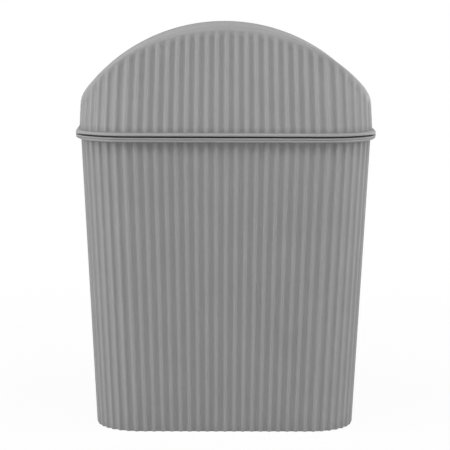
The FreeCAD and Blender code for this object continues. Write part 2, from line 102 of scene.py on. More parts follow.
# %% The shared outline
# Samples across one flute, from ridge to ridge, closest together on the ridge's flanks.
HALF_FLUTE = (0, 0.06, 0.11, 0.16, 0.21, 0.27, 0.35)
across_flute = np.array([*HALF_FLUTE, 0.5, *(1 - part for part in reversed(HALF_FLUTE[1:]))])
share = np.add.outer(np.arange(FLUTES), across_flute).ravel() / FLUTES
steps = len(share)


def spread_along_rim():
    """Place on the inner rectangle, from -1 to 1, and outward direction of each sample."""
    flat_x, flat_y = top_half_width - TOP_CORNER, top_half_depth - TOP_CORNER
    turn = TOP_CORNER * math.pi / 2
    lengths = [0, flat_x, turn, 2 * flat_y, turn, 2 * flat_x, turn, 2 * flat_y, turn, flat_x]
    way = np.cumsum(lengths)
    at = share * way[-1]
    place_x = np.interp(at, way, [0, 1, 1, 1, 1, -1, -1, -1, -1, 0])
    place_y = np.interp(at, way, [-1, -1, -1, 1, 1, 1, 1, -1, -1, -1])
    angle = np.radians(np.interp(at, way, [-90, -90, 0, 0, 90, 90, 180, 180, 270, 270]))
    return place_x, place_y, np.cos(angle), np.sin(angle)


place_x, place_y, out_x, out_y = spread_along_rim()
outward = np.column_stack([out_x, out_y, np.zeros(steps)])
# How far a sample belongs to the left or right end: softly, or only on the end itself.
soft_end, hard_end = out_x ** 4, out_x ** 12


def ring(half_width, half_depth, corner, height):
    """Points of a rounded rectangle at one height, one for each sample."""
    x = place_x * (half_width - corner) + out_x * corner
    y = place_y * (half_depth - corner) + out_y * corner
    return np.column_stack([x, y, np.full(steps, height)])


def bin_ring(height, reach):
    """Ring of the tapered bin at a height, this far outside its ridges."""
    rise = height / rim_z
    return ring(BASE_HALF_WIDTH + (top_half_width - BASE_HALF_WIDTH) * rise + reach,
                BASE_HALF_DEPTH + (top_half_depth - BASE_HALF_DEPTH) * rise + reach,
                BASE_CORNER + (TOP_CORNER - BASE_CORNER) * rise + reach, height)


def rim_ring(height, reach):
    """Ring with upright sides at the rim, this far outside the bin's ridges."""
    return ring(top_half_width + reach, top_half_depth + reach, TOP_CORNER + reach, height)


def lid_ring(rise, reach):
    """Ring of the lid's leaning walls at a rise above its seat, this far outside its ridges."""
    lean = rise / crown_height
    return ring(top_half_width + LID_OVERHANG - LID_SIDE_LEAN * lean + reach,
                top_half_depth + LID_OVERHANG - LID_FRONT_LEAN * lean + reach,
                TOP_CORNER + LID_OVERHANG + reach, seat_z + rise)


print(f"{steps} samples around, {len(across_flute)} to a flute")

# %% [markdown]
# ## A finish for moulded plastic
#
# The bin is one grey polypropylene in a satin finish. A flat colour would look like paper, so the
# finish has what a moulding shows: a cloudy tone some centimetres across, a fine sparked grain
# from the tool's surface, and a sheen that wanders a little. The ridges are painted a touch paler
# than the grooves, as painted light and shade, and painted shade darkens the joint under the
# flange, the corner under the rim and the foot of the lid's walls. All of it sits on object
# coordinates or on the meshes' own attributes, so it stays put in every view.

# %% Satin plastic
# Noise of each kind: cells to a metre, and detail.
TONE_NOISE, SPECKLE_NOISE, SHEEN_NOISE, GRAIN_NOISE = (22, 3), (900, 2), (140, 4), (2600, 2)
TONE_RANGE, SPECKLE_RANGE, ROUGHNESS_RANGE = (0.97, 1.03), (0.985, 1.015), (0.5, 0.6)
# Noise mostly lies between these values.
NOISE_LOW, NOISE_HIGH = 0.3, 0.7
# How far the painted shade in joints and corners darkens the colour.
PAINTED_SHADE_DARKENS = 0.8
GRAIN_STRENGTH, GRAIN_DEPTH = 0.12, 0.05 * MM
PLASTIC_IOR, PLASTIC_SPECULAR = 1.49, 0.25


def link_or_set(tree, socket, value):
    """Give a node's input another node's output, or a plain value."""
    if isinstance(value, bpy.types.NodeSocket):
        tree.links.new(value, socket)
    else:
        socket.default_value = value


def calc(tree, operation, *values):
    """Math node on outputs or plain values."""
    node = tree.nodes.new("ShaderNodeMath")
    node.operation = operation
    for socket, value in zip(node.inputs, values):
        link_or_set(tree, socket, value)
    return node.outputs[0]


def map_range(tree, value, start, end, low, high):
    """Map Range node that takes start to low and end to high, and stays there beyond them."""
    node = tree.nodes.new("ShaderNodeMapRange")
    names = ("Value", "From Min", "From Max", "To Min", "To Max")
    for name, given in zip(names, (value, start, end, low, high)):
        link_or_set(tree, node.inputs[name], given)
    return node


def clouds(tree, coordinates, scale, detail):
    """Noise texture, whose scale counts cells to a metre."""
    node = tree.nodes.new("ShaderNodeTexNoise")
    node.inputs["Scale"].default_value = scale
    node.inputs["Detail"].default_value = detail
    tree.links.new(coordinates, node.inputs["Vector"])
    return node.outputs["Fac"]


def spread(tree, value, low, high):
    """Stretch the values that noise mostly has to a range."""
    return map_range(tree, value, NOISE_LOW, NOISE_HIGH, low, high).outputs["Result"]


def attribute(tree, name):
    """Value that a mesh carries at its points."""
    node = tree.nodes.new("ShaderNodeAttribute")
    node.attribute_name = name
    return node.outputs["Fac"]


def satin_plastic(name, tone, rib_shade=None):
    """Grey moulded plastic of a tone. With a rib shade, ridges are painted paler than grooves, and
    painted shade darkens joints and corners.
    """
    material = bpy.data.materials.new(name)
    material.use_nodes = True
    tree = material.node_tree
    shader = tree.nodes["Principled BSDF"]
    place = tree.nodes.new("ShaderNodeTexCoord").outputs["Object"]
    cloudy = spread(tree, clouds(tree, place, *TONE_NOISE), *TONE_RANGE)
    speckle = spread(tree, clouds(tree, place, *SPECKLE_NOISE), *SPECKLE_RANGE)
    value = calc(tree, "MULTIPLY", calc(tree, "MULTIPLY", cloudy, speckle), tone)
    if rib_shade is not None:
        # Painted light and shade: ridges a touch paler, grooves a touch darker, and painted shade
        # where the mesh carries it.
        painted_rib_shade = calc(tree, "MULTIPLY_ADD", attribute(tree, "crest"), rib_shade, 1 - rib_shade / 2)
        shade_factor = calc(tree, "MULTIPLY_ADD", attribute(tree, "painted_shade"), -PAINTED_SHADE_DARKENS, 1.0)
        value = calc(tree, "MULTIPLY", value, calc(tree, "MULTIPLY", painted_rib_shade, shade_factor))
    grey = tree.nodes.new("ShaderNodeCombineColor")
    for channel in grey.inputs:
        tree.links.new(value, channel)
    tree.links.new(grey.outputs["Color"], shader.inputs["Base Color"])
    sheen = spread(tree, clouds(tree, place, *SHEEN_NOISE), *ROUGHNESS_RANGE)
    tree.links.new(sheen, shader.inputs["Roughness"])
    grain = tree.nodes.new("ShaderNodeBump")
    grain.inputs["Strength"].default_value = GRAIN_STRENGTH
    grain.inputs["Distance"].default_value = GRAIN_DEPTH
    tree.links.new(clouds(tree, place, *GRAIN_NOISE), grain.inputs["Height"])
    tree.links.new(grain.outputs["Normal"], shader.inputs["Normal"])
    shader.inputs["IOR"].default_value = PLASTIC_IOR
    shader.inputs["Specular IOR Level"].default_value = PLASTIC_SPECULAR
    return material


bin_plastic = satin_plastic("bin plastic", tone=0.264, rib_shade=0.02)
lid_plastic = satin_plastic("lid plastic", tone=0.27, rib_shade=0.08)
flap_plastic = satin_plastic("flap plastic", tone=0.26)
pin_plastic = satin_plastic("pin plastic", tone=0.25)
finishes = (bin_plastic, lid_plastic, flap_plastic, pin_plastic)
print("finishes", [finish.name for finish in finishes])

# %% [markdown]
# ## A tool that presses the flutes
#
# The ribs repeat all round the bin and the lid, so one Geometry Nodes tree makes them on both. It
# could cut grooves with booleans, but pressing is closer to the mould and keeps the mesh in quads.
# A blank arrives with three attributes: each point's share of the way around, how much relief it
# takes, and its outward direction. Across one flute the tree draws a narrow ridge with soft
# shoulders and a wide, flat groove, and moves each point inward by that profile.

# %% The flute tool
# A ridge's flank starts and ends at these parts of the ridge's share.
FLANK_START, FLANK_END = 0.1, 0.95


def new_input(tree, name, kind):
    """Named input of a tree. Its identifier sets it on a modifier."""
    return tree.interface.new_socket(name, in_out="INPUT", socket_type=kind)


def named(tree, kind, name):
    """Attribute of the blank."""
    node = tree.nodes.new("GeometryNodeInputNamedAttribute")
    node.data_type = kind
    node.inputs["Name"].default_value = name
    return node.outputs["Attribute"]


def flute_tree():
    """Tree that presses flutes into a blank, and the identifiers of its inputs."""
    tree = bpy.data.node_groups.new("press flutes", "GeometryNodeTree")
    kinds = {"Blank": "NodeSocketGeometry", "Flutes": "NodeSocketInt", "Depth": "NodeSocketFloat",
             "Ridge Share": "NodeSocketFloat", "Plastic": "NodeSocketMaterial"}
    inputs = {name: new_input(tree, name, kind).identifier for name, kind in kinds.items()}
    tree.interface.new_socket("Piece", in_out="OUTPUT", socket_type="NodeSocketGeometry")
    given = tree.nodes.new("NodeGroupInput").outputs
    across = calc(tree, "MULTIPLY", named(tree, "FLOAT", "share"), given["Flutes"])
    from_ridge = calc(tree, "PINGPONG", across, 0.5)
    flank = map_range(tree, from_ridge, calc(tree, "MULTIPLY", given["Ridge Share"], FLANK_START),
                      calc(tree, "MULTIPLY", given["Ridge Share"], FLANK_END), 0, 1)
    flank.interpolation_type = "SMOOTHSTEP"
    pressed = calc(tree, "MULTIPLY", flank.outputs["Result"], named(tree, "FLOAT", "relief"))
    inward = calc(tree, "MULTIPLY", calc(tree, "MULTIPLY", pressed, given["Depth"]), -1.0)
    offset = tree.nodes.new("ShaderNodeVectorMath")
    offset.operation = "SCALE"
    tree.links.new(named(tree, "FLOAT_VECTOR", "outward"), offset.inputs[0])
    tree.links.new(inward, offset.inputs["Scale"])
    crest = tree.nodes.new("GeometryNodeStoreNamedAttribute")
    crest.inputs["Name"].default_value = "crest"
    tree.links.new(given["Blank"], crest.inputs["Geometry"])
    tree.links.new(calc(tree, "SUBTRACT", 1.0, pressed), crest.inputs["Value"])
    press = tree.nodes.new("GeometryNodeSetPosition")
    tree.links.new(crest.outputs["Geometry"], press.inputs["Geometry"])
    tree.links.new(offset.outputs["Vector"], press.inputs["Offset"])
    real = tree.nodes.new("GeometryNodeRealizeInstances")
    tree.links.new(press.outputs["Geometry"], real.inputs["Geometry"])
    paint = tree.nodes.new("GeometryNodeSetMaterial")
    tree.links.new(real.outputs["Geometry"], paint.inputs["Geometry"])
    tree.links.new(given["Plastic"], paint.inputs["Material"])
    tree.links.new(paint.outputs["Geometry"], tree.nodes.new("NodeGroupOutput").inputs["Piece"])
    return tree, inputs


flute_press, flute_inputs = flute_tree()
print("flute tool inputs", list(flute_inputs))

# %% [markdown]
# ## From rings to a blank
#
# A blank is a stack of rings joined by quads. The bin's stack is closed by a face at each end, and
# the lid's runs once round its section and meets itself. Building the grid from listed rings keeps
# its rows where the shape needs them: many at a rounding, few on a straight wall.

# %% Rings to meshes
SHARP_ANGLE = math.radians(38)


def add_piece(name, points, faces):
    """Mesh object from points and faces, at the origin."""
    mesh = bpy.data.meshes.new(name)
    mesh.from_pydata(points, [], faces)
    piece = bpy.data.objects.new(name, mesh)
    bpy.context.scene.collection.objects.link(piece)
    return piece


def profile(*pairs):
    """Heights and reaches of a small profile, given in millimetres."""
    return [(height * MM, reach * MM) for height, reach in pairs]


def quads(rows, columns, closed):
    """Faces of a grid whose columns wrap round, and whose rows do too where it is closed."""
    faces = []
    for row in range(rows if closed else rows - 1):
        this, following = row * columns, (row + 1) % rows * columns
        for column in range(columns):
            beside = (column + 1) % columns
            faces.append((this + column, this + beside, following + beside, following + column))
    return faces


def smooth(piece):
    """Smooth shading, except where faces meet at a real edge."""
    piece.data.polygons.foreach_set("use_smooth", [True] * len(piece.data.polygons))
    piece.data.set_sharp_from_angle(angle=SHARP_ANGLE)


def keep_result(piece, modifier):
    """Swap a piece's mesh for what its modifier makes of it, and drop the modifier."""
    bpy.context.view_layer.update()
    made = piece.evaluated_get(bpy.context.evaluated_depsgraph_get())
    mesh = bpy.data.meshes.new_from_object(made)
    piece.modifiers.remove(modifier)
    piece.data = mesh


def press_flutes(piece, reliefs, painted_shades, plastic):
    """Run the flute tool on a blank, given each ring's relief and painted shade, and keep the plain
    mesh.
    """
    layers = (("share", "FLOAT", "value", np.tile(share, len(reliefs))),
              ("relief", "FLOAT", "value", np.repeat(reliefs, steps)),
              ("painted_shade", "FLOAT", "value", np.repeat(painted_shades, steps)),
              ("outward", "FLOAT_VECTOR", "vector", np.tile(outward, (len(reliefs), 1)).ravel()))
    for name, kind, field, values in layers:
        layer = piece.data.attributes.new(name, kind, "POINT")
        layer.data.foreach_set(field, values.astype(np.float32))
    modifier = piece.modifiers.new("flutes", "NODES")
    modifier.node_group = flute_press
    for name, value in (("Flutes", FLUTES), ("Depth", FLUTE_DEPTH), ("Ridge Share", RIDGE_SHARE),
                        ("Plastic", plastic)):
        modifier[flute_inputs[name]] = value
    keep_result(piece, modifier)
    attributes = piece.data.attributes
    for name in ("share", "relief", "outward"):
        attributes.remove(attributes[name])
    smooth(piece)


def finish_piece(piece, body, node):
    """Hand a finished piece to the frame."""
    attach(piece, body)
    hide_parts(node)
    triangles = sum(len(face.vertices) - 2 for face in piece.data.polygons)
    print(f"{piece.name}: {len(piece.data.vertices)} points, {triangles} triangles")


print(f"edges over {math.degrees(SHARP_ANGLE):.0f} degrees stay sharp")

# %% [markdown]
# ## The bin
#
# The bin is one deep moulding: a foot ring, straight fluted walls that widen upwards, a rim that
# stands out like a rolled edge, and a raised seat inside it on which the lid rests. The rows below
# are the rings of its section, from the middle of the underside, up the outside, over the rim and
# down to the inner floor. A ring has a height and a distance outside the ridges. Up to the rim it
# also says how much of the flute it takes, and from the rim on it takes none.

# %% Make the bin
BIN_WALL = 1.6 * MM
SEAT_WIDTH, SEAT_ROUND, SEAT_FILLET = 2.4 * MM, 0.25 * MM, 0.2 * MM
FOOT_RECESS, FOOT_INNER_ROUND = 3.0 * MM, 1.0 * MM
FLOOR_TOP, FLOOR_ROUND = 5.4 * MM, 5.0 * MM
# The foot's outer edge is rounder at the ends than along the front.
FOOT_ROUND, FOOT_END_ROUND = 0.8 * MM, 2.2 * MM
# The middle of a rounding lies at this part of its radius from both faces.
ROUND_MIDDLE = 0.3
# The faces that close the stack start this far inside the last rounding.
CAP_INSET = 3.0 * MM
RIM_HEIGHT = 3.6 * MM
# Towards the ends the rim's lower bead gets thinner and rounder.
LOWER_BEAD, BEAD_END_RISE, BEAD_END_ROUND = 1.6 * MM, 0.9 * MM, 0.8 * MM
# Painted shade in the corner under the rim, on rings counted from the rim's edge.
UNDER_RIM_SHADE = {-3: 0.15, -2: 0.3, -1: 0.3, 0: 0.1}
# Painted shade covers the seat's outer side, which is its first rings.
SEAT_SHADE_RINGS = 3
rim_under = rim_z - RIM_HEIGHT
inner = -(FLUTE_DEPTH + BIN_WALL)
seat_edge = inner + SEAT_WIDTH
foot_round = FOOT_ROUND + (FOOT_END_ROUND - FOOT_ROUND) * soft_end

foot_rings = (
    (FOOT_RECESS, inner - FOOT_INNER_ROUND - CAP_INSET, 0),
    (FOOT_RECESS, inner - FOOT_INNER_ROUND, 0),
    (FOOT_RECESS - ROUND_MIDDLE * FOOT_INNER_ROUND, inner - ROUND_MIDDLE * FOOT_INNER_ROUND, 0),
    (FOOT_RECESS - FOOT_INNER_ROUND, inner, 0),
    (BROKEN_EDGE, inner, 0),
    (0, inner + BROKEN_EDGE, 0),
    (0, -foot_round, 1),
    (ROUND_MIDDLE * foot_round, -ROUND_MIDDLE * foot_round, 1),
    (foot_round, 0, 1),
)
wall_rings = [(rim_under * rise, 0, 1) for rise in (0.04, 0.2, 0.4, 0.6, 0.8, 0.94, 0.98)]
# The fillet under the rim.
under_rim_rings = [(rim_under + height, reach, 1)
                   for height, reach in profile((-0.6, 0), (-0.15, 0.2), (0, 0.7))]
# The rim's edge, from its underside to its top: a soft lower bead, a fine line, and an upper bead.
rim_edge = profile(
    (0, 3.0), (0.1, 3.55), (0.4, 3.95), (0.9, 4.1), (1.3, 4.05), (1.6, 3.8), (1.8, 3.5),
    (2.0, 3.5), (2.2, 3.8), (2.5, 4.1), (2.9, 4.2), (3.3, 4.05), (3.53, 3.7), (3.6, 3.2),
)
seat_rings = (
    (rim_z, seat_edge + FINE_EDGE),
    (rim_z + SEAT_FILLET, seat_edge),
    (seat_z - SEAT_ROUND, seat_edge),
    (seat_z, seat_edge - SEAT_ROUND),
    (seat_z, inner + SEAT_ROUND),
    (seat_z - SEAT_ROUND, inner),
)
inside_rings = [(rim_z * rise, inner) for rise in (0.96, 0.75, 0.5, 0.25, 0.08)]
floor_rings = [(FLOOR_TOP + FLOOR_ROUND * (1 - math.sin(turn)),
                inner - FLOOR_ROUND * (1 - math.cos(turn)))
               for turn in np.radians([0, 18, 36, 54, 72, 90])]
floor_rings.append((FLOOR_TOP, inner - FLOOR_ROUND - CAP_INSET))


def bead_ring(height, reach):
    """Ring of the rim's edge at a height over its underside."""
    thin = hard_end * max(0, 1 - height / LOWER_BEAD)
    return rim_ring(rim_under + height + BEAD_END_RISE * thin, reach - BEAD_END_ROUND * thin)


def make_bin():
    """Fluted bin as one closed mesh."""
    tapered = [*foot_rings, *wall_rings, *under_rim_rings]
    rings = [bin_ring(height, reach) for height, reach, relief in tapered]
    rings += [bead_ring(height, reach) for height, reach in rim_edge]
    # Painted shade under the rim and on the seat's outer side.
    painted_shades = [UNDER_RIM_SHADE.get(number - len(tapered), 0) for number in range(len(rings))]
    painted_shades += [1] * SEAT_SHADE_RINGS
    upper = [*seat_rings, *inside_rings, *floor_rings]
    rings += [bin_ring(height, reach) for height, reach in upper]
    painted_shades += [0] * (len(rings) - len(painted_shades))
    reliefs = [relief for height, reach, relief in tapered]
    reliefs += [0] * (len(rings) - len(reliefs))
    faces = quads(len(rings), steps, closed=False)
    last = (len(rings) - 1) * steps
    faces.append(tuple(reversed(range(steps))))
    faces.append(tuple(range(last, last + steps)))
    piece = add_piece("bin_shell", np.concatenate(rings), faces)
    press_flutes(piece, reliefs, painted_shades, bin_plastic)
    return piece


bin_shell = make_bin()
finish_piece(bin_shell, "bin", "bin_body")

# %% [markdown]
# ## The arch
#
# The top of lid and flap is one round arch from left to right. Two small functions carry it: one
# gives the arch's height over a place, and one finds where a leaning wall runs into it. With them
# the lid's edge and the flap meet in the same surface without any boolean.

# %% The arch
arch_middle = np.array([0, 0, crown_z - ARCH_RADIUS])


def drop_on_arch(points, depth):
    """Move points up or down onto the arch, this deep under its surface."""
    landed = points.copy()
    landed[:, 2] = arch_middle[2] + np.sqrt((ARCH_RADIUS - depth) ** 2 - points[:, 0] ** 2)
    return landed


def meet_arch(low, high, depth):
    """Where lines from low through high come out of the arch, this deep under its surface."""
    upright = np.array([1, 0, 1])
    start, way = (low - arch_middle) * upright, (high - low) * upright
    a, b = (way * way).sum(1), (start * way).sum(1)
    c = (start * start).sum(1) - (ARCH_RADIUS - depth) ** 2
    along = (np.sqrt(b * b - a * c) - b) / a
    return low + (high - low) * along[:, None]


def unit(vectors):
    """Vectors made one long."""
    return vectors / np.linalg.norm(vectors, axis=1, keepdims=True)


def rounded(before, corner, after, cuts):
    """Rings of a soft corner that leaves before, heads for corner and arrives at after."""
    return [before * (1 - t) ** 2 + corner * 2 * t * (1 - t) + after * t ** 2
            for t in np.linspace(0, 1, cuts)]


print(f"arch of radius {ARCH_RADIUS:.3f} about z {arch_middle[2]:.4f}")

# %% [markdown]
# ## The lid
#
# The lid is a thin shell: a skirt that drops into the bin, a flange over the rim, fluted walls
# that lean in, and an arched top with a large opening for the flap. Its section runs once round
# and closes on itself, so its rings make one watertight skin. Near the arch the grooves rise to
# the surface, and the wall turns over into the top through a soft edge, wider at the shoulders
# left and right than along the front.

# %% Make the lid's shell
LID_WALL, TOP_WALL = 1.6 * MM, 2.0 * MM
PLUG_CLEARANCE, PLUG_WALL = 0.5 * MM, 1.8 * MM
# The flange's edge hangs a little lower than its root, most of all at the ends, and so narrows
# the joint.
FLANGE_THICKNESS, FLANGE_DROP, FLANGE_END_DROP = 2.4 * MM, 0.3 * MM, 1.1 * MM
# Painted shade lies on these rings: the skirt's root and the flange's underside.
FIRST_JOINT_RING, JOINT_RINGS = 4, 4
# Fillet at the walls' foot, and painted shade on the rings there.
WALL_FILLET, FILLET_MIDDLE = 0.7 * MM, 0.2 * MM
WALL_FOOT_SHADE = [0.3, 0.3, 0.25, 0.12]
# The grooves rise evenly to the surface, eased at both ends: what is left of the run-out's length,
# and the relief there.
GROOVE_RUN_OUT = 6.5 * MM
RUN_OUT_RELIEF = (
    (1, 1), (0.93, 0.97), (0.85, 0.9), (0.65, 0.68), (0.4, 0.38), (0.15, 0.1), (0.07, 0.03), (0, 0),
)
# Rounding of the wall's upper edge at the crown, down the sides of the arch and at the ends, and
# the largest part of the border that it may take.
EDGE_ROUND_CROWN, EDGE_ROUND_SIDE, EDGE_ROUND_END = 3.5 * MM, 1.2 * MM, 7.0 * MM
CROWN_HALF_SPAN = 85.0 * MM
WIDEST_EDGE = 0.6
OPENING_GAP_END, OPENING_GAP_SIDE = 1.5 * MM, 1.0 * MM
OPENING_CORNER = 30.0 * MM
# The lip round the opening is deep along its sides, and fades out towards its ends.
LIP_DEPTH, LIP_WALL, LIP_ROUND, LIP_FADE = 4.0 * MM, 2.0 * MM, 0.9 * MM, 0.6
INNER_ROUND = 1.0 * MM
# Rings to a large and to a small rounding.
EDGE_CUTS, SMALL_CUTS = 7, 4
# Rings that would fall together are kept this far apart.
HAIR = 0.01 * MM
opening_half_length = flap_high.x + OPENING_GAP_END
opening_half_width = flap_high.y + OPENING_GAP_SIDE
flange_top = seat_z + FLANGE_THICKNESS
plug_outer = inner - PLUG_CLEARANCE
plug_inner = plug_outer - PLUG_WALL

# The flange's edge, from its underside to its top.
flange_edge = profile(
    (0, 3.4), (0.12, 3.85), (0.5, 4.15), (1.0, 4.2), (1.5, 4.1), (2.0, 3.7), (2.4, 3.0),
)
# The walls run from the flange's top to where they would meet the arch without a soft edge.
wall_foot = lid_ring(FLANGE_THICKNESS, 0)
wall_edge = meet_arch(lid_ring(0, 0), lid_ring(crown_height, 0), 0)
wall_up = unit(wall_edge - wall_foot)
crown_share = np.clip(1 - (lid_ring(crown_height, 0)[:, :1] / CROWN_HALF_SPAN) ** 2, 0, 1)
edge_round = (EDGE_ROUND_SIDE + (EDGE_ROUND_CROWN - EDGE_ROUND_SIDE) * crown_share
              + (EDGE_ROUND_END - EDGE_ROUND_SIDE) * soft_end[:, None])
lip_share = np.clip((1 + LIP_FADE) * np.abs(out_y) - LIP_FADE, 0, 1) ** 2


def plug_and_flange():
    """Rings from the skirt's lower edge, up its outside and round the flange."""
    end = lid_low.z
    tapered = (
        (end + FINE_EDGE, plug_inner),
        (end, plug_inner + FINE_EDGE),
        (end, plug_outer - FINE_EDGE),
        (end + FINE_EDGE, plug_outer),
        (seat_z - FINE_EDGE, plug_outer),
        (seat_z, plug_outer + FINE_EDGE),
        (seat_z, seat_edge + BROKEN_EDGE),
    )
    rings = [bin_ring(height, reach) for height, reach in tapered]
    for height, reach in flange_edge:
        drop = FLANGE_DROP + FLANGE_END_DROP * hard_end * (1 - height / FLANGE_THICKNESS)
        rings.append(rim_ring(seat_z + height - drop, reach))
    return rings


def lid_walls():
    """Rings of the fluted walls up to where the soft edge starts, and their reliefs."""
    rings = [lid_ring(FLANGE_THICKNESS, WALL_FILLET), wall_foot + (outward + wall_up) * FILLET_MIDDLE]
    rings += [wall_foot + wall_up * height for height in (WALL_FILLET, 2.5 * MM, 5.0 * MM)]
    run_out = [wall_edge - wall_up * (edge_round + GROOVE_RUN_OUT * part)
               for part, relief in RUN_OUT_RELIEF]
    rings += [rings[-1] + (run_out[0] - rings[-1]) * part for part in (0.3, 0.65)]
    reliefs = [1] * len(rings) + [relief for part, relief in RUN_OUT_RELIEF]
    return rings + run_out, reliefs


def lid_top(hole):
    """Rings over the soft edge, across the arched border and round the opening's lip."""
    border = (hole - wall_edge) * np.array([1, 1, 0])
    inwards = unit(border)
    widest = WIDEST_EDGE * np.linalg.norm(border, axis=1, keepdims=True)
    before = wall_edge - wall_up * edge_round
    after = drop_on_arch(wall_edge + inwards * np.minimum(edge_round, widest), 0)
    rings = rounded(before, wall_edge, after, EDGE_CUTS)[1:]
    rim_of_hole = drop_on_arch(hole - inwards * LIP_ROUND, 0)
    for part in (0.33, 0.66, 0.97):
        rings.append(drop_on_arch(after + (rim_of_hole - after) * part, 0))
    down = np.array([0, 0, -1.0])
    hole_edge = drop_on_arch(hole, 0)
    rings += rounded(rim_of_hole, hole_edge, hole_edge + down * LIP_ROUND, SMALL_CUTS)
    depth = (TOP_WALL + LIP_DEPTH * lip_share)[:, None]
    behind = drop_on_arch(hole - inwards * LIP_WALL, 0)
    rings.append(hole_edge + down * (depth - BROKEN_EDGE))
    rings.append(drop_on_arch(hole - inwards * BROKEN_EDGE, 0) + down * depth)
    rings.append(behind + inwards * BROKEN_EDGE + down * depth)
    rings.append(behind + down * np.maximum(depth - BROKEN_EDGE, TOP_WALL + 2 * HAIR))
    rings.append(behind + down * (TOP_WALL + HAIR))
    return rings, behind


def lid_inside(behind):
    """Rings under the arched border and down the inner walls to the skirt's lower edge."""
    inset = -(FLUTE_DEPTH + LID_WALL)
    low, high = lid_ring(0, inset), lid_ring(crown_height, inset)
    top = meet_arch(low, high, TOP_WALL)
    rings = [drop_on_arch(behind + (top - behind) * part, TOP_WALL) for part in (0.35, 0.7, 0.9)]
    turn_in = top - unit(top - low) * INNER_ROUND
    rings += rounded(rings[-1], top, turn_in, SMALL_CUTS)[1:]
    foot = lid_ring(FLANGE_THICKNESS, inset)
    rings += [turn_in + (foot - turn_in) * part for part in (0.35, 0.7, 1)]
    rings.append(bin_ring(flange_top, plug_inner + FINE_EDGE))
    rings.append(bin_ring(flange_top - FINE_EDGE, plug_inner))
    rings.append(bin_ring(seat_z, plug_inner))
    return rings


def make_lid():
    """Lid's shell as one closed mesh."""
    hole = ring(opening_half_length, opening_half_width, OPENING_CORNER, crown_z)
    rings = plug_and_flange()
    reliefs = [0] * len(rings)
    # Painted shade in the joint under the flange and at the walls' foot.
    painted_shades = [0] * FIRST_JOINT_RING + [1] * JOINT_RINGS
    painted_shades += [0] * (len(rings) - len(painted_shades)) + WALL_FOOT_SHADE
    fluted, groove_reliefs = lid_walls()
    top, behind = lid_top(hole)
    rings += [*fluted, *top, *lid_inside(behind)]
    reliefs += groove_reliefs
    reliefs += [0] * (len(rings) - len(reliefs))
    painted_shades += [0] * (len(rings) - len(painted_shades))
    piece = add_piece("lid_shell", np.concatenate(rings), quads(len(rings), steps, closed=True))
    press_flutes(piece, reliefs, painted_shades, lid_plastic)
    return piece


lid_shell = make_lid()
print("lid rings", len(lid_shell.data.vertices) // steps)

# %% [markdown]
# ## Ears and lugs
#
# Under the crown, an ear of the lid hangs down at the front and at the back, and a lug of the flap
# hangs beside each. A pin joins them. Ear and lug are both flat plates with a round hole, so one
# function makes them: it goes round the hole by angle and reaches out to the plate's outline. A
# Bevel modifier then breaks the moulded edges.

# %% Pierced plates
PLATE_STEPS = 64
EAR_HALF_WIDTH, EAR_WALL, EAR_REACH = 7.0 * MM, 4.0 * MM, 21.5 * MM
STOP_THICKNESS, STOP_REACH = 3.0 * MM, 3.5 * MM
LUG_RADIUS, LUG_WALL = 6.5 * MM, 4.0 * MM
PIN_RADIUS = 2.5 * MM
# The pin sits tight in the ears, and the lugs turn on it with a little play.
EAR_PLAY, LUG_PLAY = 0.01 * MM, 0.08 * MM
# Faces that would lie in one plane are set apart by this, so that neither shades the other.
SET_APART = 0.06 * MM
BEVEL_ANGLE = math.radians(50)
SIDES = ((-1, "front"), (1, "back"))
TINY = 1e-9


def break_edges(piece, width):
    """Bevel the sharp edges of a piece and keep the plain mesh."""
    bevel = piece.modifiers.new("broken edges", "BEVEL")
    bevel.width = width
    bevel.segments = 2
    bevel.limit_method = "ANGLE"
    bevel.angle_limit = BEVEL_ANGLE
    keep_result(piece, bevel)


def face_outwards(piece):
    """Turn all faces of a closed mesh outwards."""
    shape = bmesh.new()
    shape.from_mesh(piece.data)
    bmesh.ops.recalc_face_normals(shape, faces=shape.faces)
    shape.to_mesh(piece.data)
    shape.free()


def pierced_plate(name, outline, hole_radius, near, far):
    """Upright plate between two depths, with a hole on the pivot axis and an outline by angle."""
    turns = np.linspace(0, 2 * math.pi, PLATE_STEPS, endpoint=False)
    ways = np.column_stack([np.cos(turns), np.sin(turns)])
    reaches = np.array([outline(*way) for way in ways])
    loops = []
    for radius, depth in ((hole_radius, near), (reaches, near), (reaches, far), (hole_radius, far)):
        x, z = (ways * np.reshape(radius, (-1, 1))).T
        loops.append(np.column_stack([x, np.full(PLATE_STEPS, depth), z + pivot.z]))
    piece = add_piece(name, np.concatenate(loops), quads(4, PLATE_STEPS, closed=True))
    face_outwards(piece)
    return piece


def box_outline(half_width, below, above):
    """Outline by angle of a rectangle about the hole."""
    def reach(x, z):
        sideways = half_width / max(abs(x), TINY)
        upright = (above if z > 0 else below) / max(abs(z), TINY)
        return min(sideways, upright)
    return reach


def lug_outline(radius, above):
    """Outline by angle of a lug: round below the hole, straight-sided above it."""
    def reach(x, z):
        return radius if z <= 0 else min(radius / max(abs(x), TINY), above / z)
    return reach


def bar(name, low, high):
    """Block between two corners."""
    xs, ys, zs = zip(low, high)
    points = [(x, y, z) for x in xs for y in ys for z in zs]
    faces = ((0, 1, 3, 2), (4, 6, 7, 5), (0, 4, 5, 1), (2, 3, 7, 6), (0, 2, 6, 4), (1, 5, 7, 3))
    piece = add_piece(name, points, faces)
    face_outwards(piece)
    return piece


def join_to(piece, others, plastic):
    """Add other meshes to a piece as closed parts of the same moulding."""
    for other in others:
        other.data.materials.clear()
        other.data.materials.append(plastic)
        smooth(other)
    with bpy.context.temp_override(active_object=piece, selected_editable_objects=[piece, *others]):
        bpy.ops.object.join()


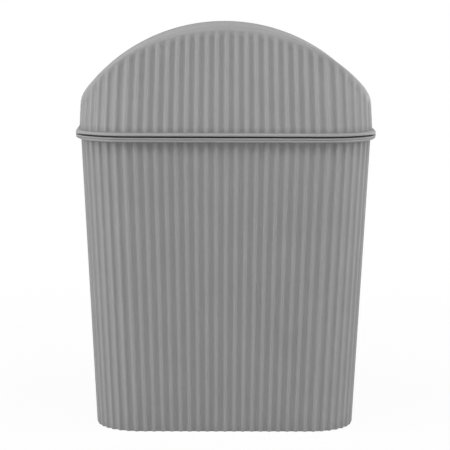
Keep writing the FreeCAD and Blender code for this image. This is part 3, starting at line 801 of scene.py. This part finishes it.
def ears():
    """Ears of the lid, each with the foot that stops the flap's skirt."""
    above = crown_z - TOP_WALL / 2 - pivot.z
    low = pivot.z - EAR_REACH
    half = EAR_HALF_WIDTH - SET_APART
    made = []
    for side, label in SIDES:
        plate = pierced_plate(f"{label}_ear", box_outline(EAR_HALF_WIDTH, EAR_REACH, above),
                              PIN_RADIUS + EAR_PLAY, side * (opening_half_width - SET_APART),
                              side * (opening_half_width + EAR_WALL))
        stop = bar(f"{label}_stop",
                   (-half, side * (opening_half_width - STOP_REACH), low + SET_APART),
                   (half, side * (opening_half_width + EAR_WALL / 2), low + STOP_THICKNESS))
        for piece in (plate, stop):
            break_edges(piece, BROKEN_EDGE)
        made += [plate, stop]
    return made


join_to(lid_shell, ears(), lid_plastic)
finish_piece(lid_shell, "lid", "lid_frame")

# %% [markdown]
# ## The flap
#
# The flap is an arched sheet with rounded corners that fills the opening with a small gap all
# round. Below its front and back edges it has a stiffening skirt. It is swept from left to right:
# at each station a closed section runs over the top, round the edge, down and up the skirt and back
# underneath. Past the straight sides the section narrows along the corner's arc, and the last
# stations close in a round end. The flap lies a hair lower than the lid, as such flaps do.

# %% Make the flap
FLAP_WALL, SKIRT_HEIGHT, SKIRT_WALL = 2.0 * MM, 6.0 * MM, 2.0 * MM
SKIRT_HALF_LENGTH, SKIRT_RUN_OUT = 75.0 * MM, 8.0 * MM
FLAP_CORNER = OPENING_CORNER - OPENING_GAP_SIDE
FLAP_EDGE = 0.8 * MM
FLAP_DROP = 0.25 * MM
SKIRT_FILLET = 0.1 * MM
# How much of its thickness the flap loses round its end.
END_THINNING = 0.8
# Stations on the straight half and on a corner, and points across the top and the underside.
STRAIGHT_STATIONS, CORNER_STATIONS, TOP_POINTS, UNDER_POINTS = 40, 17, 25, 13
flap_half_length, flap_half_width = flap_high.x, flap_high.y


def flap_stations():
    """Places from left to right with the flap's half width and the share of its thickness there."""
    straight = flap_half_length - FLAP_CORNER
    middle = [(x, flap_half_width, 1.0) for x in np.linspace(0, straight, STRAIGHT_STATIONS)]
    corner = [(straight + (FLAP_CORNER - FLAP_EDGE) * math.sin(turn),
               flap_half_width - FLAP_CORNER + FLAP_CORNER * math.cos(turn), 1.0)
              for turn in np.radians(np.linspace(0, 90, CORNER_STATIONS)[1:])]
    end = [(flap_half_length - FLAP_EDGE + FLAP_EDGE * math.sin(turn),
            flap_half_width - FLAP_CORNER, 1 - END_THINNING * (1 - math.cos(turn)))
           for turn in np.radians([25, 45, 65, 80])]
    right = middle + corner + end
    return [(-x, width, thick) for x, width, thick in reversed(right[1:])] + right


def flap_section(x, half_width, thick):
    """Closed loop of (y, depth under the arch) round the flap's section at a station."""
    run = np.clip((SKIRT_HALF_LENGTH - abs(x)) / SKIRT_RUN_OUT, 0, 1)
    skirt = FLAP_WALL + SKIRT_HEIGHT * run * run * (3 - 2 * run)
    edge = half_width - FLAP_EDGE
    leg = half_width - SKIRT_WALL
    top = [(edge * part, 0.0) for part in np.linspace(-1, 1, TOP_POINTS)]
    over = [(edge + FLAP_EDGE * math.sin(turn), FLAP_EDGE * (1 - math.cos(turn)))
            for turn in np.radians([30, 60, 90])]
    foot = [(half_width, skirt - BROKEN_EDGE), (half_width - BROKEN_EDGE, skirt),
            (leg + BROKEN_EDGE, skirt), (leg, skirt - BROKEN_EDGE),
            (leg, FLAP_WALL + SKIRT_FILLET), (leg - FINE_EDGE, FLAP_WALL)]
    if run == 0:
        foot = [(half_width, FLAP_WALL - BROKEN_EDGE), (half_width - BROKEN_EDGE, FLAP_WALL)]
        foot += [(leg + step, FLAP_WALL) for step in (2 * BROKEN_EDGE, BROKEN_EDGE, 0, -FINE_EDGE)]
    across = np.linspace(1, -1, UNDER_POINTS)[1:-1]
    under = [(part * (leg - FINE_EDGE), FLAP_WALL) for part in across]
    right = over + foot
    left = [(-y, depth) for y, depth in reversed(right)]
    middle = FLAP_WALL / 2
    return [(y, middle + (depth - middle) * thick) for y, depth in top + right + under + left]


def make_flap():
    """Arched flap with skirts and lugs."""
    loops = []
    for x, half_width, thick in flap_stations():
        section = np.array(flap_section(x, half_width, thick))
        radius = ARCH_RADIUS - FLAP_DROP - section[:, 1]
        lean = math.asin(x / ARCH_RADIUS)
        loops.append(arch_middle + np.outer(section[:, 0], [0, 1, 0])
                     + np.outer(radius, [math.sin(lean), 0, math.cos(lean)]))
    columns = len(loops[0])
    faces = quads(len(loops), columns, closed=False)
    last = (len(loops) - 1) * columns
    faces += [tuple(range(columns)), tuple(range(last, last + columns))]
    piece = add_piece("flap_shell", np.concatenate(loops), faces)
    face_outwards(piece)
    piece.data.materials.append(flap_plastic)
    smooth(piece)
    lugs = []
    above = crown_z - FLAP_WALL / 2 - pivot.z
    for side, label in SIDES:
        lug = pierced_plate(f"{label}_lug", lug_outline(LUG_RADIUS, above), PIN_RADIUS + LUG_PLAY,
                            side * (flap_half_width - LUG_WALL),
                            side * (flap_half_width - SET_APART))
        break_edges(lug, FINE_EDGE)
        lugs.append(lug)
    join_to(piece, lugs, flap_plastic)
    return piece


flap_shell = make_flap()
finish_piece(flap_shell, "flap", "swing_flap")

# %% [markdown]
# ## The pins
#
# Two small headed pins carry the flap. They are turned parts whose shape in the frame is already
# right, so they stay as they are and only get the plastic finish.

# %% Finish the pins
for node in ("front_pivot_pin", "back_pivot_pin"):
    pin = frame["nodes"][node]
    pin.data.materials.clear()
    pin.data.materials.append(pin_plastic)
print("pins keep their own shape")

# %% [markdown]
# ## Floor and world
#
# The object stands on a plain white floor in a white room. To light them both until they are white
# would burn out the object, so to the camera they simply glow white, and the object gets a dim
# light from all round. Close to it, a little of the floor's own shading shows as a soft shadow.

# %% Floor and world
FLOOR_SIZE, FLOOR_GREY, FLOOR_ROUGHNESS = 14.0, 0.7, 0.9
# The floor is fully white from the far distance on, and up to the near one white to this share.
NEAR, FAR, NEAR_WHITE = 0.2, 0.8, 0.95
# Strength of the light from all round at the horizon, and how much weaker it is overhead.
AMBIENT, AMBIENT_FALL = 0.5, 0.25


def camera_white(tree):
    """1 for rays that should see plain white: camera, mirror and clear glass."""
    path = tree.nodes.new("ShaderNodeLightPath").outputs
    glassy = calc(tree, "MAXIMUM", path["Is Glossy Ray"], path["Is Transmission Ray"])
    return calc(tree, "MAXIMUM", path["Is Camera Ray"], glassy)


def make_floor():
    """White floor that stays white to the camera and still takes the object's shadow."""
    half = FLOOR_SIZE / 2
    corners = [(-half, -half, 0), (half, -half, 0), (half, half, 0), (-half, half, 0)]
    floor = add_piece("floor", corners, [(0, 1, 2, 3)])
    material = bpy.data.materials.new("white floor")
    material.use_nodes = True
    tree = material.node_tree
    shader = tree.nodes["Principled BSDF"]
    shader.inputs["Base Color"].default_value = (FLOOR_GREY, FLOOR_GREY, FLOOR_GREY, 1)
    shader.inputs["Roughness"].default_value = FLOOR_ROUGHNESS
    glow = tree.nodes.new("ShaderNodeEmission")
    glow.inputs["Strength"].default_value = 1.0
    away = tree.nodes.new("ShaderNodeVectorMath")
    away.operation = "LENGTH"
    tree.links.new(tree.nodes.new("ShaderNodeTexCoord").outputs["Object"], away.inputs[0])
    white = map_range(tree, away.outputs["Value"], NEAR, FAR, NEAR_WHITE, 1).outputs["Result"]
    mix = tree.nodes.new("ShaderNodeMixShader")
    tree.links.new(calc(tree, "MULTIPLY", camera_white(tree), white), mix.inputs["Fac"])
    tree.links.new(shader.outputs["BSDF"], mix.inputs[1])
    tree.links.new(glow.outputs["Emission"], mix.inputs[2])
    tree.links.new(mix.outputs["Shader"], tree.nodes["Material Output"].inputs["Surface"])
    floor.data.materials.append(material)


def make_world():
    """White to the camera, and a dim light on the object that fades towards the ceiling."""
    world = bpy.data.worlds.new("studio")
    bpy.context.scene.world = world
    world.use_nodes = True
    tree = world.node_tree
    sky = tree.nodes["Background"]
    sky.inputs["Color"].default_value = (1, 1, 1, 1)
    up = tree.nodes.new("ShaderNodeSeparateXYZ")
    tree.links.new(tree.nodes.new("ShaderNodeTexCoord").outputs["Generated"], up.inputs["Vector"])
    ambient = calc(tree, "MULTIPLY_ADD", up.outputs["Z"], -AMBIENT_FALL, AMBIENT)
    seen = camera_white(tree)
    unseen = calc(tree, "MULTIPLY", calc(tree, "SUBTRACT", 1.0, seen), ambient)
    tree.links.new(calc(tree, "ADD", seen, unseen), sky.inputs["Strength"])


make_floor()
make_world()
bpy.context.scene.view_settings.view_transform = "Standard"
print("floor and world are white to the camera")

# %% [markdown]
# ## Lights
#
# Two tall soft lights stand left and right, a little in front, so that the ridges catch light from
# the side and the grooves fall off between them. A third lights the crown from above, and a weak
# one fills the front. A low one behind rakes over the back, for the views from there.

# %% Lights
TARGET = (0, 0, 0.17)
# Name, place, width and height in metres, and power in watts.
LIGHTS = (
    ("left softbox", (-1.6, -0.35, 0.6), 0.6, 1.3, 16.6),
    ("right softbox", (1.6, -0.35, 0.6), 0.6, 1.3, 13.8),
    ("top softbox", (0, -1.0, 1.65), 1.4, 0.7, 16.3),
    ("front fill", (0, -2.0, 0.4), 1.2, 0.6, 2.2),
    ("back fill", (1.7, 1.5, 0.16), 1.0, 0.28, 9),
)


def soft_light(name, place, width, height, power):
    """Rectangular soft light that faces the object's middle."""
    data = bpy.data.lights.new(name, "AREA")
    data.shape = "RECTANGLE"
    data.size, data.size_y = width, height
    data.energy = power
    light = bpy.data.objects.new(name, data)
    light.location = place
    light.rotation_euler = (Vector(TARGET) - Vector(place)).to_track_quat("-Z", "Y").to_euler()
    bpy.context.scene.collection.objects.link(light)


for row in LIGHTS:
    soft_light(*row)
print("lights", [row[0] for row in LIGHTS])

# %% [markdown]
# ## Camera
#
# The camera looks at the front from a little over the rim with a long lens. Its place was found by
# matching the outline, the rim's line and the rib pitch.

# %% Camera
# Place in metres, angles in radians, lens in pixels of the picture, and sensor in millimetres.
CAMERA_DISTANCE, CAMERA_HEIGHT = 1.778, 0.3831
CAMERA_PITCH, CAMERA_YAW, CAMERA_ROLL = 0.1245, 0.0115, 0.0042
FOCAL_PIXELS, IMAGE_PIXELS = 2149.5, 450
SENSOR = 36.0


def make_camera():
    """Camera in front of the object, turned a little to its left and tipped down."""
    data = bpy.data.cameras.new("camera")
    data.sensor_width = SENSOR
    data.lens = FOCAL_PIXELS / IMAGE_PIXELS * SENSOR
    camera = bpy.data.objects.new("camera", data)
    around = Matrix.Rotation(-CAMERA_YAW, 4, "Z")
    tip = Matrix.Rotation(math.pi / 2 - CAMERA_PITCH, 4, "X")
    roll = Matrix.Rotation(CAMERA_ROLL, 4, "Z")
    back = Matrix.Translation((0, -CAMERA_DISTANCE, CAMERA_HEIGHT))
    camera.matrix_world = around @ back @ tip @ roll
    bpy.context.scene.collection.objects.link(camera)
    bpy.context.scene.camera = camera


make_camera()
print(f"lens {bpy.context.scene.camera.data.lens:.1f} mm")
